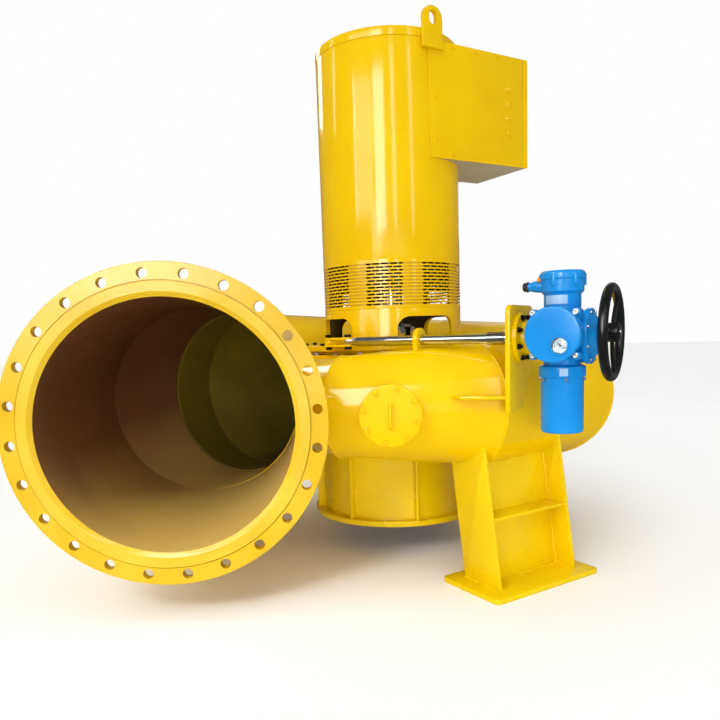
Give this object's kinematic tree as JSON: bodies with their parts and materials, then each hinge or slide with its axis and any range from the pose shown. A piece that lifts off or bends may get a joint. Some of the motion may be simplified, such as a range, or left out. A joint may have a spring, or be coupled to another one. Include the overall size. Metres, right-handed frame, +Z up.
{
  "type": "kaplan turbine generator set",
  "caption": "Small vertical axial-flow turbine with spiral case, flanged inlet, stub draft flange, generator on top and a motor actuator that turns its gate ring.",
  "frame": {"origin": "centre of the part's box, on the floor under its feet", "axes": "+Z up along the turbine axis; -Y out of the inlet flange; the gate actuator stands at +X -Y"},
  "size_m": [2.2718, 2.1701, 2.151],
  "materials": {
    "yellow_enamel": "gloss enamel",
    "inner_primer": "satin red-brown primer",
    "blue_enamel": "gloss powder coat",
    "black_plastic": "moulded, glossy",
    "bright_steel": "ground and polished",
    "bronze": "machined aluminium bronze"
  },
  "bodies": {
    "unit": {"inlet_flange": "yellow_enamel", "inlet_pipe": "yellow_enamel", "case_course_1": "yellow_enamel", "case_course_2": "yellow_enamel", "case_course_3": "yellow_enamel", "case_course_4": "yellow_enamel", "case_course_5": "yellow_enamel", "case_course_6": "yellow_enamel", "case_course_7": "yellow_enamel", "case_course_8": "yellow_enamel", "stay_ring": "inner_primer", "guide_vanes": "inner_primer", "head_cover": "yellow_enamel", "runner_chamber": "yellow_enamel", "generator_stand": "yellow_enamel", "vent_drum": "yellow_enamel", "vent_screen": "yellow_enamel", "generator_frame": "yellow_enamel", "generator_lid": "yellow_enamel", "lifting_lug_1": "yellow_enamel", "lifting_lug_2": "yellow_enamel", "terminal_box": "yellow_enamel", "terminal_box_cover": "yellow_enamel", "handhole_neck": "yellow_enamel", "handhole_cover": "yellow_enamel", "handhole_handle": "yellow_enamel", "leg_front": "yellow_enamel", "leg_left": "yellow_enamel", "leg_back": "yellow_enamel", "guide_bracket": "yellow_enamel", "actuator_bracket": "yellow_enamel", "actuator_adaptor": "yellow_enamel", "actuator_gearcase": "blue_enamel", "actuator_cover": "blue_enamel", "actuator_motor": "blue_enamel", "actuator_head": "blue_enamel"},
    "rod": {"regulating_rod": "bright_steel"},
    "link": {"link_plates": "yellow_enamel"},
    "ring": {"regulating_ring": "yellow_enamel"},
    "wheel": {"handwheel": "black_plastic"},
    "rotor": {"main_shaft": "bright_steel", "runner_hub": "bronze", "runner_blade_1": "bronze", "runner_blade_2": "bronze", "runner_blade_3": "bronze", "runner_blade_4": "bronze"}
  },
  "joints": [
    {"name": "rod_slide", "type": "slide", "parent": "unit", "child": "rod", "axis": [0.8192, -0.5736, 0], "range_m": [-0.05, 0.05]},
    {"name": "link_swing", "type": "hinge", "parent": "rod", "child": "link", "pos_m": [-0.02528, -0.40328, 0.887], "axis": [0, 0, 1], "range_deg": [-3.3, 3.3]},
    {"name": "ring_turn", "type": "hinge", "parent": "unit", "child": "ring", "pos_m": [0.1976, -0.01, 0.861], "axis": [0, 0, 1], "range_deg": [-6.4, 6.4]},
    {"name": "handwheel_turn", "type": "hinge", "parent": "unit", "child": "wheel", "pos_m": [0.76684, -0.95793, 0.897], "axis": [0.8192, -0.5736, 0], "continuous": true},
    {"name": "rotor_turn", "type": "hinge", "parent": "unit", "child": "rotor", "pos_m": [0.1976, -0.01, 0.65], "axis": [0, 0, 1], "continuous": true}
  ],
  "couplings": [
    {"joint": "link_swing", "follows": "rod_slide", "rad_per_m": 1.136},
    {"joint": "ring_turn", "follows": "rod_slide", "rad_per_m": 2.222}
  ]
}
